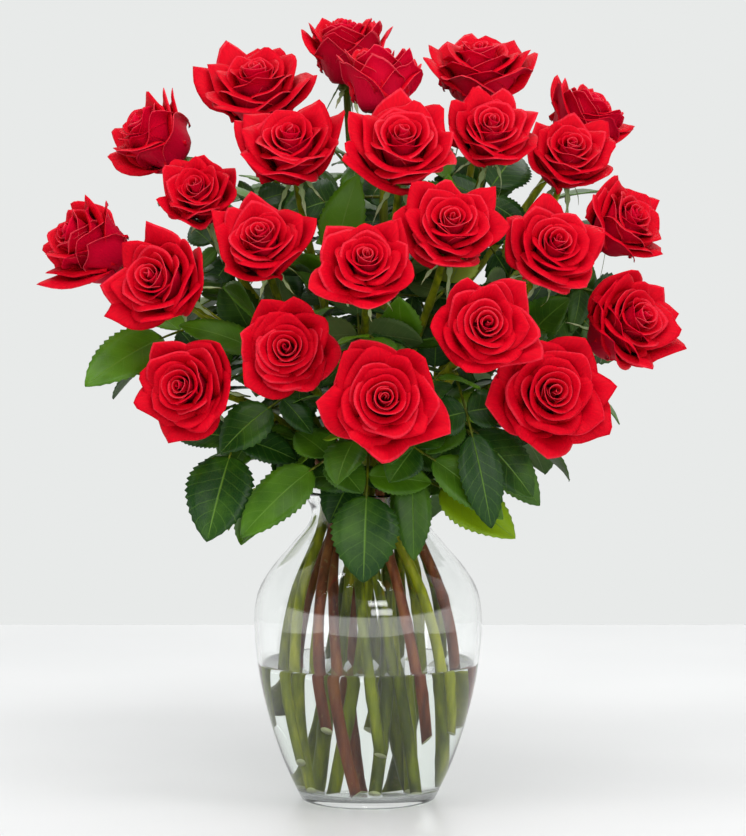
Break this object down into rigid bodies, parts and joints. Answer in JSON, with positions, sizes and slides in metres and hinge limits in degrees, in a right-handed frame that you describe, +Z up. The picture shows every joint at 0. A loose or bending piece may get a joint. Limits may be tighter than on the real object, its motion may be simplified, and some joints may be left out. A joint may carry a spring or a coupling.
{
  "type": "vase of roses",
  "caption": "Long-stemmed red roses with leaves, gathered in a rounded, waisted clear glass vase half full of water; a table decoration.",
  "frame": {"origin": "centre of the vase's flat foot, on the surface that it stands on", "axes": "+Z up along the vase's axis, -Y towards the side that the bouquet faces, +X to its right as seen from that side"},
  "size_m": [0.4068, 0.3375, 0.5221],
  "materials": {
    "glass": "clear, glossy",
    "water": "clear",
    "petal": "velvety",
    "leaf": "satin"
  },
  "bodies": {
    "root": {"vase": "glass", "water": "water", "bloom_01": "petal", "bloom_02": "petal", "bloom_03": "petal", "bloom_04": "petal", "bloom_05": "petal", "bloom_06": "petal", "bloom_07": "petal", "bloom_08": "petal", "bloom_09": "petal", "bloom_10": "petal", "bloom_11": "petal", "bloom_12": "petal", "bloom_13": "petal", "bloom_14": "petal", "bloom_15": "petal", "bloom_16": "petal", "bloom_17": "petal", "bloom_18": "petal", "bloom_19": "petal", "bloom_20": "petal", "bloom_21": "petal", "bloom_22": "petal", "bloom_23": "petal", "bloom_24": "petal", "stem_01": "leaf", "stem_02": "leaf", "stem_03": "leaf", "stem_04": "leaf", "stem_05": "leaf", "stem_06": "leaf", "stem_07": "leaf", "stem_08": "leaf", "stem_09": "leaf", "stem_10": "leaf", "stem_11": "leaf", "stem_12": "leaf", "stem_13": "leaf", "stem_14": "leaf", "stem_15": "leaf", "stem_16": "leaf", "stem_17": "leaf", "stem_18": "leaf", "stem_19": "leaf", "stem_20": "leaf", "stem_21": "leaf", "stem_22": "leaf", "stem_23": "leaf", "stem_24": "leaf"}
  },
  "joints": []
}
